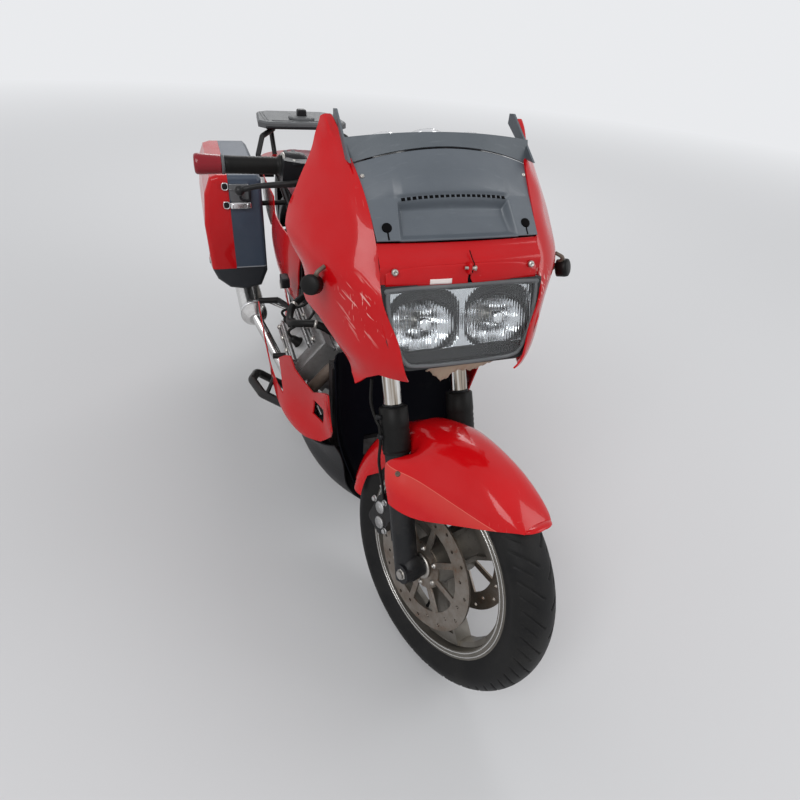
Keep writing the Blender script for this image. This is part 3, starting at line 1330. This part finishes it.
    def bridge_marks(self) -> None:
        """Pale worn patch, a fine crack over a dark notch, and the dark gap behind the bridge."""
        u, v = np.linspace(-68, -27, 16)[None], np.linspace(0, 1, 4)[:, None]
        patch = plate("bridge_pale_patch", grid(u, 70.1 + u ** 2 * self.bow + v * 1.14, 1005.5 + 9 * v), 0.6)
        fitted(patch, Look.PALE)
        line = mm((12, 72.4, 1022), (10, 74, 1030), (14, 74.8, 1036), (11, 79, 1044), (9, 92, 1056))
        notch = plate("notch", grid([[1, 7, 13, 18], [2, 7, 12, 15], [3, 7, 10, 13]],
                                    [[72.8], [73.4], [74.6]], [[1003.0], [1011.0], [1021.0]]), 0.8)
        fitted(joined("bridge_crack", [tube("crack", line, 0.0009, 6, 30), notch]), Look.VOID)
        x, z = np.linspace(-163, 163, 40)[None], np.linspace(1040, 1067, 8)[:, None]
        back = plate("bridge_shadow", grid(x, 119 + (z - 1062) * 0.5 + (x / 160) ** 2 * 6, z), 1)
        fitted(back, Look.VOID)

    def mirror_mounts(self) -> None:
        """Dark rubber plug and bent stub where each missing mirror was fixed."""
        for side, name in SIDES:
            at = spot(side * 262, 150, 984)
            plug = lathe(f"mirror_plug_{name}", [(0, 9.5), (14, 9.5), (17.5, 7.5), (18.5, 2), (17.5, -14),
                                                 (0, -14)], (at, at + (side * 0.62, -0.72, 0.3)), 40)
            fitted(plug, Look.RUBBER)
            bends = [at + (-side * x, y, z) for x, y, z in (
                (0.016, 0.016, -0.006), (0.01, 0.0, 0.02), (0.026, 0.006, 0.031))]
            fitted(tube(f"mirror_stub_{name}", bends, (0.005, 0.0042, 0.0035), 12, 30), Look.OLD_METAL)

    def dials(self) -> None:
        """Three round instruments with bezels, faces, marks and needles, seen from the saddle."""
        axes = basis((0.0, 0.72, 0.69))
        for x, size, name in ((-84, 36, "fuel"), (0, 48, "speed"), (90, 40, "revs")):
            at, edge = spot(x, 344, 1170), size - 5
            line = (at, at + axes[2])
            bezel = lathe(f"dial_{name}_bezel", [(edge, 0), (size, -4), (size, 7), (size - 4, 9), (edge, 5),
                                                 (edge, 0)], line, 56)
            fitted(bezel, Look.CHROME)
            face = [(edge, 1), (0, 1.5), (0, -4), (edge, -4)]
            fitted(lathe(f"dial_{name}_face", face, line, 56), Look.VOID)
            marks = []
            for angle in np.radians(np.arange(-130, 131, 20)):
                spoke = axes[0] * math.sin(angle) + axes[1] * math.cos(angle)
                marks.append((at + spoke * (size - 10) / 1000 + axes[2] * 0.0018, spoke, (1.2, 6, 0.6), 0.3))
            middle = at + axes[2] * 0.003 - axes[0] * (size - 16) / 2600 - axes[1] * (size - 16) / 2200
            marks.append((middle, (middle - at) / np.linalg.norm(middle - at), (1.8, size - 12, 0.8), 0.4))
            blocks = [rounded_block("mark", middle, long, power, 8,
                                    np.stack([np.cross(axes[2], spoke), spoke, axes[2]]))
                      for middle, spoke, long, power in marks]
            fitted(joined(f"dial_{name}_marks", blocks), Look.PALE)

    def build(self) -> None:
        """Makes every piece of the nose."""
        for make in (self.panel, self.openings, self.screws, self.bridge_strips, self.bridge_marks,
                     self.mirror_mounts, self.dials):
            make()


@dataclass
class Bars:
    """Grips, end weights, switch housings, cylinders and levers, right and left."""

    inner: Point = (236.0, 566.0, 1062.0)
    along: Point = (1.0, 0.30, -0.13)
    grip: float = 116.0
    body: str = "steering"

    def bar(self, x: int) -> tuple[np.ndarray, np.ndarray]:
        """Where a grip starts and which way it runs; x is -1 on the right and 1 on the left."""
        start, run = (np.array((x * first, *rest)) for first, *rest in (self.inner, self.along))
        return start, run / np.linalg.norm(run)

    def side(self, x: int, name: str) -> None:
        """One bar's grip, weight, rings, switches and fluid reservoir."""
        start, run = self.bar(x)

        def at(distance: float, back: float = 0.0, rise: float = 0.0) -> np.ndarray:
            """Steered place of a point along the bar, behind it and over it."""
            return steered(mm(start + run * distance + np.array((0, back, rise))))[0]

        axis = at(1.0) - at(0.0)
        grip = [(0, 0), (17.5, 0), (21.5, 0.5), (22.5, 3), (20.5, 6), (17.8, 8)]
        grip += [(17.2 + 0.4 * (i % 2), 12 + 4 * i) for i in range(24)]
        grip += [(17.6, 113.5), (16.8, 116), (0, 116)]
        for piece, profile, place, count, look in (
                ("grip", grip, 0.0, 48, Look.RUBBER),
                ("bar_end", [(0, 0), (17.8, 0), (18, 2), (19.4, 28), (20.2, 44), (19.8, 49.2), (17.6, 52.2),
                             (12.5, 53.3), (0, 53.7)], self.grip + 6.3, 56, Look.BAR_END),
                ("bar_ring", [(11, 0), (18.6, 0), (19, 3), (18.6, 6.2), (11, 6.2)], self.grip, 48, Look.RACK),
                ("switch_barrel", [(11.5, -54), (21, -53), (26.5, -47), (28.5, -36), (28.5, -12), (26, -4),
                                   (21.5, -1.5), (11.5, -1.5)], 0.0, 56, Look.BLACK),
                ("throttle_ring", [(21, -7.5), (26.2, -7), (26.8, -4), (26.2, -1), (21, -0.5)], 0.0, 48,
                 Look.STEEL)):
            base = at(place)
            fitted(lathe(f"{piece}_{name}", profile, (base, base + axis), count), look, self.body)
        buttons = []
        for distance, rise in ((-16, 20), (-32, 21), (-26, 10)):
            base = at(distance, 22, rise)
            out = at(distance, 40, rise * 1.6) - at(distance, 16, rise * 0.8)
            buttons.append(lathe("button", [(0, 6), (4, 5.6), (5.8, 3), (6, -3), (0, -3)],
                                 (base, base + out), 20))
        fitted(joined(f"switches_{name}", buttons), Look.RACK, self.body)
        middle = at(-28, -42, 5)
        ahead = axis / np.linalg.norm(axis)
        across = np.cross((0, 0, 1), ahead)
        across /= np.linalg.norm(across)
        axes = np.stack([ahead, across, np.cross(ahead, across)])
        tank = rounded_block(f"reservoir_{name}", middle, (58, 36, 24), 0.35, frame=axes)
        fitted(tank, Look.BLACK, self.body)
        lid = rounded_block(f"reservoir_lid_{name}", middle + axes[2] * 0.0125, (60, 38, 6), frame=axes)
        fitted(lid, Look.BLACK, self.body)
        heads = [(middle + axes[2] * 0.0155 + axes[0] * dx, axes[2]) for dx in (-0.021, 0.021)]
        fitted(screw_heads(f"reservoir_screws_{name}", heads, 3.5, 14), Look.STEEL, self.body)

    def lever(self, x: int, name: str) -> None:
        """Flattened lever blade with a waist, a ball end and a pivot bolt."""
        start, run = self.bar(x)
        spots = steered(mm(*(start + run * distance + (0, back, rise) for distance, back, rise in (
            (-24, -62, -14), (2, -70, -17), (40, -70, -20), (76, -68, -24), (104, -67, -31),
            (self.grip - 6, -68, -33)))))
        blade = tube("blade", spots[:5], (0.0062, 0.0072, 0.0062, 0.0054, 0.0056), 20, 70)
        knob = lathe("knob", [(0, -9.8), (5.5, -8.4), (9.2, -4), (9.9, 0.5), (9, 5), (5.5, 8.6), (0, 9.8)],
                     (spots[5], spots[5] + run), 32)
        fitted(joined(f"hand_lever_{name}", [blade, knob]), Look.BLACK_METAL, self.body)
        pivot = lathe(f"lever_pivot_{name}", [(0, -11), (6.5, -11), (6.5, 10.5), (4.5, 12), (0, 12)],
                      (spots[0], spots[0] + (0, 0.1, 1)), 24)
        fitted(pivot, Look.ALLOY, self.body)

    def build(self) -> None:
        """Makes both sides."""
        for make in (self.side, self.lever):
            for x, name in SIDES:
                make(x, name)
        for piece, node in (("grip", "grips"), ("bar_end", "bar_end_weights"), ("hand_lever", "hand_levers")):
            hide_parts(node)


@dataclass
class Cushion:
    """A seat cushion: a squared loaf of foam under its cover, swollen by a cloth simulation."""

    name: str
    node: str
    look: Look
    seams: tuple[float, ...]
    sections: tuple[tuple[float, float, float, float], ...]
    swell: float = 0.006
    voxel: float = 0.006
    frames: int = 20

    def shell(self) -> bpy.types.Object:
        """Loft: x = w |cos t|^0.5 and z = m + h |sin t|^0.5 with w, m, h smooth along the length."""
        rows = np.array(self.sections, float)
        t = np.linspace(0, 1, 46)
        y, half, low, high = (np.interp(t, np.linspace(0, 1, len(rows)), column)[:, None]
                              for column in rows.T)
        end = np.clip(np.minimum(t, 1 - t) / 0.05, 0, 1)
        pinch = (0.82 + 0.18 * np.sqrt(1 - (1 - end) ** 2))[:, None]
        half, low, high = half - 5, low + 3, high - 5
        a = np.linspace(0, 2 * math.pi, 72, endpoint=False)[None]
        x = half * np.sign(np.cos(a)) * np.abs(np.cos(a)) ** 0.5 * pinch
        z = (low + high) / 2 + (high - low) / 2 * pinch * np.sign(np.sin(a)) * np.abs(np.sin(a)) ** 0.5
        z -= np.where(np.sin(a) > 0, 5 * np.exp(-(x / 70) ** 2), 0) * pinch
        ring = grid(x, y, z)
        caps = [np.repeat(ring[i].mean(0)[None, None], 72, 1) for i in (0, -1)]
        made = surface(self.name, np.concatenate([caps[0], ring, caps[1]]), wrap_columns=True)
        return recalculated(modified(made, "WELD", merge_threshold=1e-6))

    def swollen(self, made: bpy.types.Object) -> bpy.types.Object:
        """Runs the cover as cloth under pressure and caps how far each point moves."""
        modified(made, "REMESH", mode="VOXEL", voxel_size=self.voxel)
        before = values(made.data, "vertices", "co", 3)
        cloth = made.modifiers.new("cover", "CLOTH")
        settings = cloth.settings
        settings.quality = 4
        settings.use_pressure = True
        settings.uniform_pressure_force = 4.0
        settings.effector_weights.gravity = 0.0
        settings.tension_stiffness = settings.compression_stiffness = 25.0
        cloth.point_cache.frame_start, cloth.point_cache.frame_end = 1, self.frames
        for number in range(1, self.frames + 1):
            bpy.context.scene.frame_set(number)
        depsgraph = bpy.context.evaluated_depsgraph_get()
        mesh = bpy.data.meshes.new_from_object(made.evaluated_get(depsgraph))
        move = values(mesh, "vertices", "co", 3) - before
        made.modifiers.clear()
        bpy.context.scene.frame_set(1)
        size = np.linalg.norm(move, axis=1)[:, None]
        move *= np.minimum(1, self.swell / np.maximum(size, 1e-9))
        made.data.vertices.foreach_set("co", (before + move).ravel())
        made.data.update()
        return modified(made, "SUBSURF", levels=1, render_levels=1)

    def stitched(self, made: bpy.types.Object) -> None:
        """Draws the cover in along each lengthwise seam: depth 2.4 mm exp(-(|x| - seam)^2 / 3 mm^2)."""
        mesh = made.data
        co, normal = (values(mesh, "vertices", field, 3) for field in ("co", "normal"))
        depth = sum(np.exp(-((np.abs(co[:, 0]) - seam / 1000) / 0.003) ** 2) for seam in self.seams)
        co -= normal * (0.0024 * depth * (normal[:, 2] > 0.1))[:, None]
        mesh.vertices.foreach_set("co", co.ravel())
        mesh.polygons.foreach_set("use_smooth", np.ones(len(mesh.polygons), bool))
        mesh.update()

    def build(self) -> None:
        """Makes the cushion in place of its solid."""
        made = self.shell()
        made = self.swollen(made)
        self.stitched(made)
        fitted(made, self.look)
        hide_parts(self.node)


@dataclass
class Luggage:
    """Pannier latches, edge beads and the rack's catch and ribs."""

    front: float = 1240.0
    corner: float = 304.0

    def latch(self, side: int, name: str) -> None:
        """Lower chrome strap, upper plate, pull, and the lid's two catches, on their grey bed."""
        x0, y, lid = side * self.corner, self.front - 7, f"{name}_pannier_lid"
        parts = [rounded_block("strap", spot(x0 - side * 2, y - 4, 794), (70, 8, 21), 0.22, 36)]
        for dx in (-24, 24):
            pin = spot(x0 + dx, y - 6, 794)
            parts.append(lathe("pin", [(0, -9), (2.6, -9), (2.6, 9), (0, 9)], (pin, pin + (0, 0, 1)), 14))
        fitted(joined(f"lower_latch_{name}", parts), Look.CHROME)
        fitted(rounded_block(f"upper_latch_{name}", spot(x0, y - 3, 856), (64, 9, 17), 0.25, 36), Look.RACK)
        pull = mm(*((x0 - side * x, y - back, z) for x, back, z in (
            (2, 8, 852), (6, 11, 842), (4, 10, 818), (30, 10, 812), (34, 10, 834), (34, 8, 852))))
        fitted(tube(f"latch_pull_{name}", pull, 0.0042, 12, 60), Look.BLACK)
        catches, frames = [], []
        for z in (794, 856):
            middle = spot(side * 349, self.front - 1.6, z)
            catches.append(rounded_block("catch", middle, (17, 9, 19), 0.25, 24))
            corners = mm(*((side * x, self.front - 6.5, z + rise) for x, rise in (
                (341, -9), (357, -9), (357, 9), (341, 9))))
            frames.append(tube("catch_frame", corners, 0.0017, 8, 60, closed=True))
        fitted(joined(f"lid_catches_{name}", catches), Look.BLACK, lid)
        fitted(joined(f"lid_catch_frames_{name}", frames), Look.CHROME, lid)
        fitted(rounded_block(f"latch_bed_{name}", spot(x0 - side * 4, self.front - 2.5, 830), (70, 7, 54),
                             0.3, 36), Look.RACK)

    def bead(self, side: int, name: str) -> None:
        """Bright bead along the lid's lower edge."""
        edge = mm(*((side * x, y, 566) for x, y in (
            (342, 1243), (400, 1247), (423.5, 1265), (425.5, 1400), (425.5, 1640), (423.5, 1768),
            (400, 1788), (342, 1792))))
        fitted(tube(f"lid_bead_{name}", edge, 0.0021, 8, 120), Look.STEEL, f"{name}_pannier_lid")

    def rack(self) -> None:
        """Catch on its grey base, ribs along the plate and its dark rubber edge."""
        fitted(rounded_block("rack_catch_base", spot(0, 1712, 991), (104, 80, 20), 0.7), Look.RACK)
        fitted(rounded_block("rack_catch", spot(0, 1710, 1006), (38, 36, 36), 0.35, 32), Look.BLACK)
        places = [(x, 1770, 5, 190) for x in (-150, -138, 138, 150)] + [(0, y, 250, 4) for y in (1664, 1674)]
        ribs = [rounded_block("rib", spot(x, y, 986.6), (wide, long, 3), 0.2, 16)
                for x, y, wide, long in places]
        fitted(joined("rack_ribs", ribs), Look.RACK)
        edge = mm(*((x, 1638.5, 966) for x in (-152, 0, 152)))
        fitted(tube("rack_edge", edge, 0.005, 12, 40), Look.BLACK)

    def build(self) -> None:
        """Makes both sides and the rack."""
        for side, name in SIDES:
            self.latch(side, name)
            self.bead(side, name)
        self.rack()


@dataclass
class Engine:
    """Cover bolts, plug leads, coolant pipe and hoses on the heads."""

    tilt: float = math.radians(48)
    centre: Point = (165.0, 640.0, 560.0)

    def on_head(self, side: int, x: float, y: float, z: float) -> np.ndarray:
        """Point of a head's own space, turned outward by its tilt about the length of the machine."""
        c, s = math.cos(self.tilt), math.sin(self.tilt)
        return spot(side * (self.centre[0] - x * c + z * s), self.centre[1] + y,
                    self.centre[2] + x * s + z * c)

    def bolts(self, side: int, name: str) -> None:
        """Cap bolts along both edges of the cover, and its two rails."""
        up = self.on_head(side, 0, 0, 100) - self.on_head(side, 0, 0, 0)
        heads = [(self.on_head(side, x, y, 77.5), up) for x in (-47, 47) for y in (-104, -36, 36, 104)]
        fitted(screw_heads(f"cover_bolts_{name}", heads, 7.2), Look.STEEL)
        rails = [tube("rail", [self.on_head(side, x, y, 79.5) for y in (-112, -40, 40, 112)], 0.0034, 10, 30)
                 for x in (-31, 31)]
        fitted(joined(f"cover_rails_{name}", rails), Look.ALLOY)

    def leads(self, side: int, name: str) -> None:
        """Plug caps in the cover's middle and their moulded leads, up under the tank."""
        parts = []
        for y in (-58, 58):
            at, tip = (self.on_head(side, 0, y, z) for z in (74, 174))
            parts.append(lathe("cap", [(0, 0), (15, 0), (16.5, 4), (13, 10), (10.5, 24), (8, 30), (0, 31)],
                               (at, tip), 28))
            top = at + (tip - at) / np.linalg.norm(tip - at) * 0.028
            line = [top, top + (side * 0.004, 0.006, 0.022), spot(side * 186, 640 + y * 0.7, 676),
                    spot(side * 150, 650 + y * 0.5, 716), spot(side * 96, 660, 732)]
            parts.append(tube("lead", line, 0.0038, 10, 60))
        fitted(joined(f"plug_leads_{name}", parts), Look.RUBBER)

    def hoses(self, side: int, name: str) -> None:
        """Breather hose with clamps over the head, and the broad coolant pipe slanting below it."""
        hose, pipe = (mm(*((side * x, y, z) for x, y, z in points)) for points in (
            ((128, 545, 650), (176, 560, 676), (226, 590, 668), (236, 640, 652), (214, 700, 668),
             (150, 744, 690)),
            ((236, 520, 452), (222, 498, 492), (196, 474, 540), (168, 452, 590), (140, 440, 622))))
        fitted(tube(f"breather_hose_{name}", hose, 0.0105, 16, 90), Look.RUBBER)
        clamps = [lathe("clamp", [(10.2, -4), (11.8, -4), (11.8, 4), (10.2, 4), (10.2, -4)],
                        (hose[i], hose[i] + hose[i + 1] - hose[i - 1]), 28) for i in (1, 4)]
        fitted(joined(f"hose_clamps_{name}", clamps), Look.STEEL)
        fitted(tube(f"coolant_pipe_{name}", pipe, 0.0165, 20, 60), Look.OLD_METAL)

    def tabs(self) -> None:
        """Broken red panel tabs and the small black relay box over the right head."""
        fitted(rounded_block("relay_box", spot(-216, 852, 676), (26, 50, 32), 0.25, 28), Look.BLACK)
        u, v = np.linspace(0, 1, 14)[None], np.linspace(0, 1, 12)[:, None]
        ragged = 5 * np.sin(u * 9) * (v > 0.8)
        tabs = [plate("tab", grid(x + lean * v, y + wide * u, z - tall * v + ragged), 3, (0, 800, 600))
                for x, y, z, wide, tall, lean in ((-218, 832, 652, 46, 50, 6), (-222, 790, 592, 34, 30, -6))]
        fitted(joined("broken_tabs", tabs), Look.RED)

    def build(self) -> None:
        """Makes the broken tabs and both sides."""
        self.tabs()
        for side, name in SIDES:
            self.bolts(side, name)
            self.leads(side, name)
            self.hoses(side, name)


@dataclass
class LowerBody:
    """Silencer bands, filler cap fittings, stand springs and tail lamp ribs."""

    def silencer(self, side: int, name: str) -> None:
        """Clamp bands, end ring and hanger bolt on a silencer."""
        start, end = mm((side * 292, 1180, 376), (side * 300, 1850, 412))
        run = (end - start) / np.linalg.norm(end - start)
        rings = [lathe("band", [(48.8, -half), (50.2, -half), (50.6, 0), (50.2, half), (48.8, half),
                                (48.8, -half)], (start + run * along, end + run * along), 72)
                 for along, half in ((0.052, 7), (0.33, 11), (0.632, 6))]
        rings.append(lathe("lip", [(19.5, -6), (23.5, -6), (24.5, 0), (22.5, 3), (19.5, 1), (19.5, -6)],
                           (end, end + run), 56))
        fitted(joined(f"silencer_bands_{name}", rings), Look.CHROME)
        foot = start + run * 0.33 + (0.0, 0.0, 0.0498)
        fitted(hexagon(f"silencer_bolt_{name}", (foot, foot + (0, 0, 1)), 6.5, 6), Look.STEEL)

    def filler(self) -> None:
        """Filler cap's bright ring, its lid and six screws."""
        at = spot(0, 640, 1000)
        for piece, profile, count, look in (
                ("ring", [(31, 0), (43.5, 0), (44, 3), (40, 5.2), (33, 5), (31, 0)], 72, Look.CHROME),
                ("cap", [(0, 6.2), (12, 6.6), (13, 4.8), (30, 4.5), (31, 0), (0, 0)], 64, Look.ALLOY)):
            fitted(lathe("filler_" + piece, profile, (at, at + (0, 0, 1)), count), look)
        heads = [(at + (0.037 * math.cos(a), 0.037 * math.sin(a), 0.0046), (0, 0, 1))
                 for a in np.arange(6) * math.pi / 3]
        fitted(screw_heads("filler_screws", heads, 3, 14), Look.STEEL)

    def springs(self) -> None:
        """Return springs beside the stands' pivots."""
        for name, start, end, coil, wire in (
                ("centre_stand_spring", (104, 940, 300), (104, 860, 250), 0.0085, 0.0016),
                ("side_stand_spring", (226, 790, 262), (226, 862, 236), 0.0075, 0.0015)):
            fitted(tube(name, helix(spot(*start), spot(*end), coil, 11, 200), wire, 8, 620), Look.STEEL)

    def tail(self) -> None:
        """Ribs across the tail lamp."""
        ribs = [tube("rib", mm(*((x, y, z) for x, y in (
            (-118, 1840), (-60, 1866), (0, 1872), (60, 1866), (118, 1840)))), 0.0013, 8, 60)
                for z in np.linspace(788, 820, 5)]
        fitted(joined("tail_lamp_ribs", ribs), Look.RED_LENS)

    def build(self) -> None:
        """Makes every piece."""
        for side, name in SIDES:
            self.silencer(side, name)
        self.filler()
        self.springs()
        self.tail()


def main() -> None:
    """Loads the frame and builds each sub-assembly."""
    logging.basicConfig(level=logging.INFO, format="%(name)s: %(message)s")
    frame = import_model()
    front, rear = (tuple(place.tolist()) for place in (steered(FRONT_AXLE), REAR_AXLE))
    makers: tuple[Any, ...] = (
        Studio(), Carried(frame["nodes"]),
        Tyre("front_tread", "front_tyre", "front_wheel", front, 0.3166, 0.11, 0.2286, 0.076, STEER_REST, 30),
        Tyre("rear_tread", "rear_tyre", "rear_wheel", rear, 0.328, 0.16, 0.2159, 0.114, 0.0, 26),
        WheelFittings("front_wheel", front, STEER_REST, (-0.0655, 0.0655), 0.047, 0.2286, 0.038),
        WheelFittings("rear_wheel", rear, 0.0, (-0.0767,), 0.05, 0.2159, 0.057),
        FrontEnd(), Lamp(), Nose(), Bars(),
        Cushion("rider_cushion", "rider_seat", Look.SEAT, (62, 104), (
            (850, 108, 758, 816), (940, 150, 754, 804), (1060, 168, 758, 806), (1160, 160, 770, 862))),
        Cushion("passenger_cushion", "passenger_seat", Look.PILLION, (104,), (
            (1164, 142, 824, 882), (1260, 150, 826, 892), (1440, 150, 830, 898), (1604, 120, 840, 906))),
        Luggage(), Engine(), LowerBody())
    for maker in makers:
        maker.build()
        LOG.info("built %s", type(maker).__name__)


if __name__ == "__main__":
    main()
